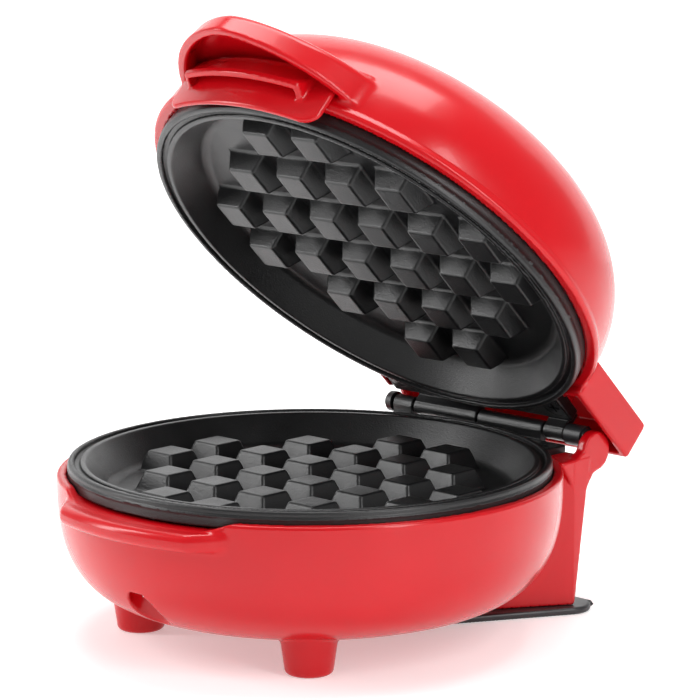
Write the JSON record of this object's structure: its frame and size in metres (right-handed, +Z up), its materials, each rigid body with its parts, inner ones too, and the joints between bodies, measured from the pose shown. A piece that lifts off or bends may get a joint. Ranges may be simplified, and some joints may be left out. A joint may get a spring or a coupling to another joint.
{
  "type": "waffle maker",
  "caption": "Small round tabletop waffle maker: bowl-shaped base on feet with a rear stand, domed hinged lid with a visor handle, and pegged non-stick cooking plates.",
  "frame": {"origin": "on the table plane under the centre of the whole part's bounding box, with the lid at its rest angle", "axes": "+Z up, -Y towards the handle (front), +Y towards the hinge (rear), +X to the right seen from the front"},
  "size_m": [0.1486, 0.1736, 0.1833],
  "materials": {
    "red_shell": "high gloss moulded shell",
    "black_plastic": "satin moulded plastic",
    "black_rubber": "matt bushing",
    "cream_plastic": "plain moulded plastic",
    "lead_insulation": "silicone insulation",
    "non_stick_casting": "black speckled non-stick coating",
    "screw_steel": "zinc plated steel",
    "pin_steel": "ground steel",
    "heater_tube": "annealed tube",
    "bright_sheet": "rolled sheet",
    "fuse_sleeve": "glass-fibre sleeve",
    "dark_ceramic": "ceramic and phenolic",
    "red_lens": "clear tinted lens",
    "green_lens": "clear tinted lens"
  },
  "bodies": {
    "base": {"base_housing": "red_shell", "foot_plate": "black_plastic", "foot_plate_screws": "screw_steel", "base_screw": "screw_steel", "cord_inlet": "black_rubber", "terminal_block": "cream_plastic", "base_wiring": "lead_insulation", "lower_plate": "non_stick_casting", "lower_plate_screws": "screw_steel", "lower_element": "heater_tube", "lower_shield": "bright_sheet", "lower_shield_screw": "screw_steel", "thermal_fuse": "fuse_sleeve", "hinge_pin": "pin_steel", "pin_caps": "black_plastic"},
    "lid": {"lid_housing": "red_shell", "handle_guard": "red_shell", "guard_screws": "screw_steel", "upper_plate": "non_stick_casting", "upper_plate_screws": "screw_steel", "upper_element": "heater_tube", "upper_shield": "bright_sheet", "upper_shield_screw": "screw_steel", "thermostat": "dark_ceramic", "lid_wiring": "lead_insulation", "power_lens": "red_lens", "ready_lens": "green_lens", "indicator_lamps": "cream_plastic"}
  },
  "joints": [
    {"name": "lid_hinge", "type": "hinge", "parent": "base", "child": "lid", "pos_m": [0, 0.0675, 0.0514], "axis": [-1, 0, 0], "range_deg": [-45, 50]}
  ]
}
